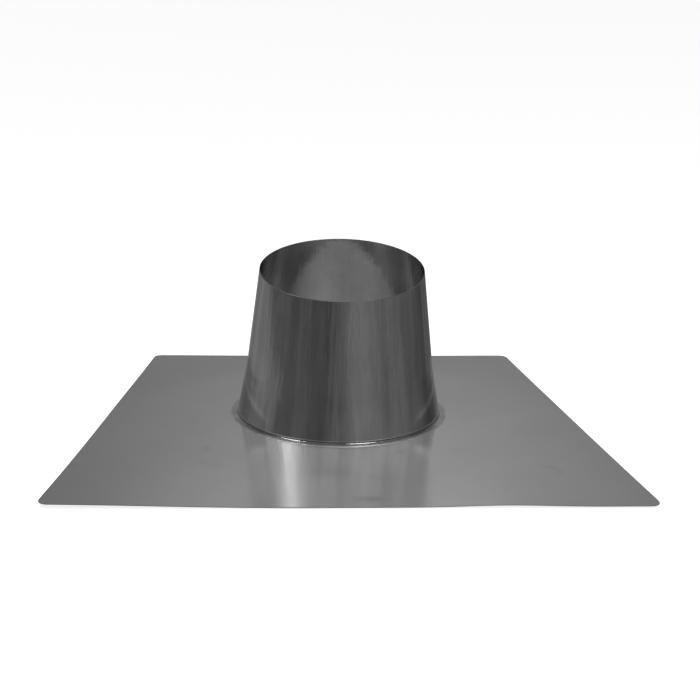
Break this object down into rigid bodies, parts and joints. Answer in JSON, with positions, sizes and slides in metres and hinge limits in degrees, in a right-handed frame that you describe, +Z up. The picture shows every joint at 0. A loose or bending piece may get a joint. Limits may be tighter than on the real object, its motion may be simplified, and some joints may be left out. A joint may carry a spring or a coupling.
{
  "type": "pitched roof pipe flashing",
  "caption": "Flat square sheet plate with a leaning, tapered sheet cone on it, open at both ends, that passes a round flue or vent pipe through a pitched roof.",
  "frame": {"origin": "middle of the plate, in the plane of its underside", "axes": "+Z up and square to the plate, away from the roof; -Y is the side that the cone leans to, which is up the slope; +X to the right when looking along +Y"},
  "size_m": [0.6, 0.6, 0.2241],
  "materials": {
    "plate_sheet": "bright cold-rolled stainless sheet, softly mirroring, with faint handling smudges",
    "cone_sheet": "bright cold-rolled stainless sheet, mirroring, with fine streaks along the wall"
  },
  "bodies": {
    "root": {"base_plate": "plate_sheet", "cone": "cone_sheet"}
  },
  "joints": []
}
